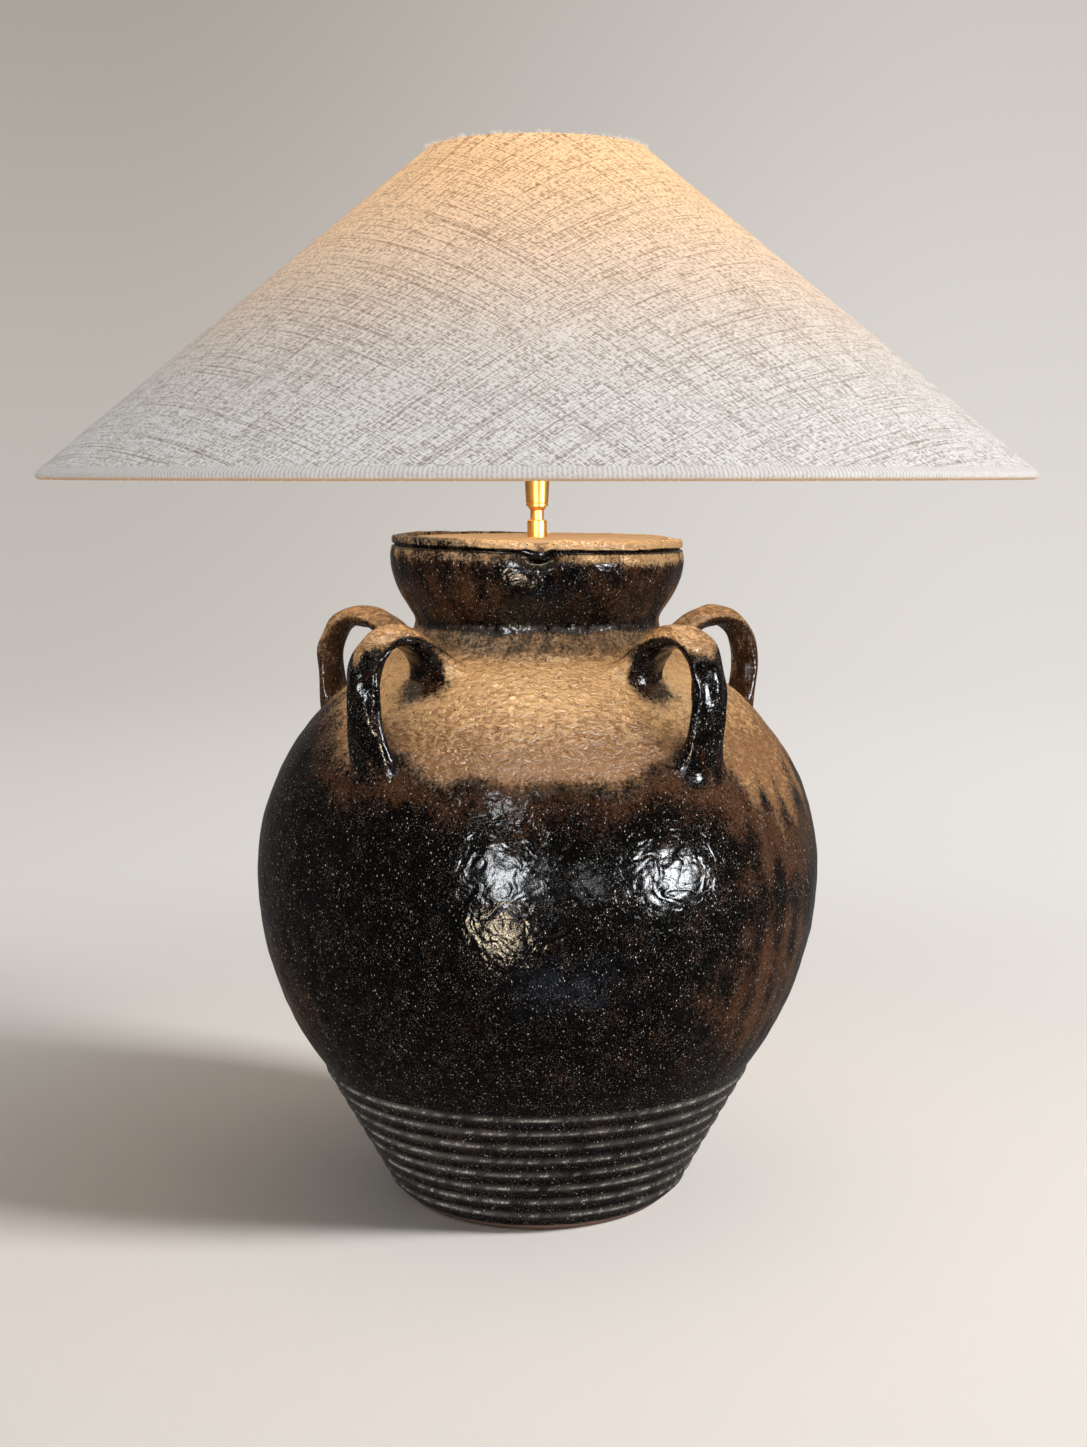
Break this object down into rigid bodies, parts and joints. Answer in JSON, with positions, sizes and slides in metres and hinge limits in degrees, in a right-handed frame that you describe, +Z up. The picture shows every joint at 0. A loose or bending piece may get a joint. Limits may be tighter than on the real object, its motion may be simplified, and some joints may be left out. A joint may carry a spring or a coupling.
{
  "type": "vase lamp",
  "caption": "Table lamp made from a glazed storage jar with strap handles and a ridged foot, with a tilting brass swivel, a harp and a wide conical linen shade.",
  "frame": {"origin": "middle of the foot, on the surface that the lamp stands on", "axes": "+Z up along the jar's axis, -Y towards the front, where the switch key points, +X to the right seen from the front"},
  "size_m": [0.65, 0.65, 0.705],
  "materials": {
    "glaze": "iron-brown glaze over thrown stoneware, glossy and pitted",
    "felt": "pressed felt",
    "steel": "zinc plated",
    "rubber": "matte",
    "cap_wood": "matte, stained to the colour of the bare lip",
    "brass": "satin lacquered",
    "seat_plastic": "plain",
    "insulating_card": "plain",
    "porcelain": "plain",
    "contact_brass": "bare",
    "key_plastic": "moulded",
    "bulb_glass": "frosted",
    "bulb_cap_metal": "rolled",
    "bulb_insulator": "moulded",
    "stem_glass": "clear",
    "filament": "coated, glows warm",
    "linen": "slubby natural linen, undyed",
    "shade_lining": "thin translucent lining"
  },
  "bodies": {
    "base": {"jar_body": "glaze", "jar_rim": "glaze", "handle_front_left": "glaze", "handle_front_right": "glaze", "handle_back_left": "glaze", "handle_back_right": "glaze", "felt_pad": "felt", "base_washer": "steel", "base_nut": "steel", "lamp_pipe": "steel", "mouth_gasket": "rubber", "mouth_cap": "cap_wood", "cap_nut": "steel", "swivel_collar": "brass", "swivel_stud": "brass"},
    "head": {"swivel_cup": "brass", "swivel_seat": "seat_plastic", "swivel_spring": "steel", "swivel_bush": "brass", "socket_nipple": "brass", "harp_saddle": "brass", "saddle_nut": "brass", "harp": "brass", "socket_cap": "brass", "socket_shell": "brass", "socket_liner": "insulating_card", "socket_core": "porcelain", "screw_shell": "contact_brass", "centre_contact": "contact_brass"},
    "sleeve_left": {"harp_sleeve_left": "brass"},
    "sleeve_right": {"harp_sleeve_right": "brass"},
    "key": {"switch_key": "key_plastic"},
    "bulb": {"bulb_glass": "bulb_glass", "bulb_cap": "bulb_cap_metal", "bulb_contact": "bulb_insulator", "bulb_stem": "stem_glass", "bulb_filament": "filament"},
    "shade": {"shade_linen": "linen", "shade_liner": "shade_lining", "shade_bottom_ring": "steel", "shade_spider": "steel"},
    "finial": {"finial": "brass"}
  },
  "joints": [
    {"name": "head_tilt", "type": "hinge", "parent": "base", "child": "head", "pos_m": [0, 0, 0.471], "axis": [0, 1, 0], "range_deg": [-20, 20]},
    {"name": "shade_turn", "type": "hinge", "parent": "head", "child": "shade", "pos_m": [0, 0, 0.6845], "axis": [0, 0, 1], "continuous": true},
    {"name": "finial_turn", "type": "hinge", "parent": "head", "child": "finial", "pos_m": [0, 0, 0.69], "axis": [0, 0, 1], "continuous": true},
    {"name": "bulb_turn", "type": "hinge", "parent": "head", "child": "bulb", "pos_m": [0, 0, 0.55], "axis": [0, 0, 1], "continuous": true},
    {"name": "key_turn", "type": "hinge", "parent": "head", "child": "key", "pos_m": [0, -0.02, 0.5189], "axis": [0, 1, 0], "continuous": true},
    {"name": "sleeve_left_lift", "type": "slide", "parent": "head", "child": "sleeve_left", "axis": [0, 0, 1], "range_m": [0, 0.013]},
    {"name": "sleeve_right_lift", "type": "slide", "parent": "head", "child": "sleeve_right", "axis": [0, 0, 1], "range_m": [0, 0.013]}
  ]
}
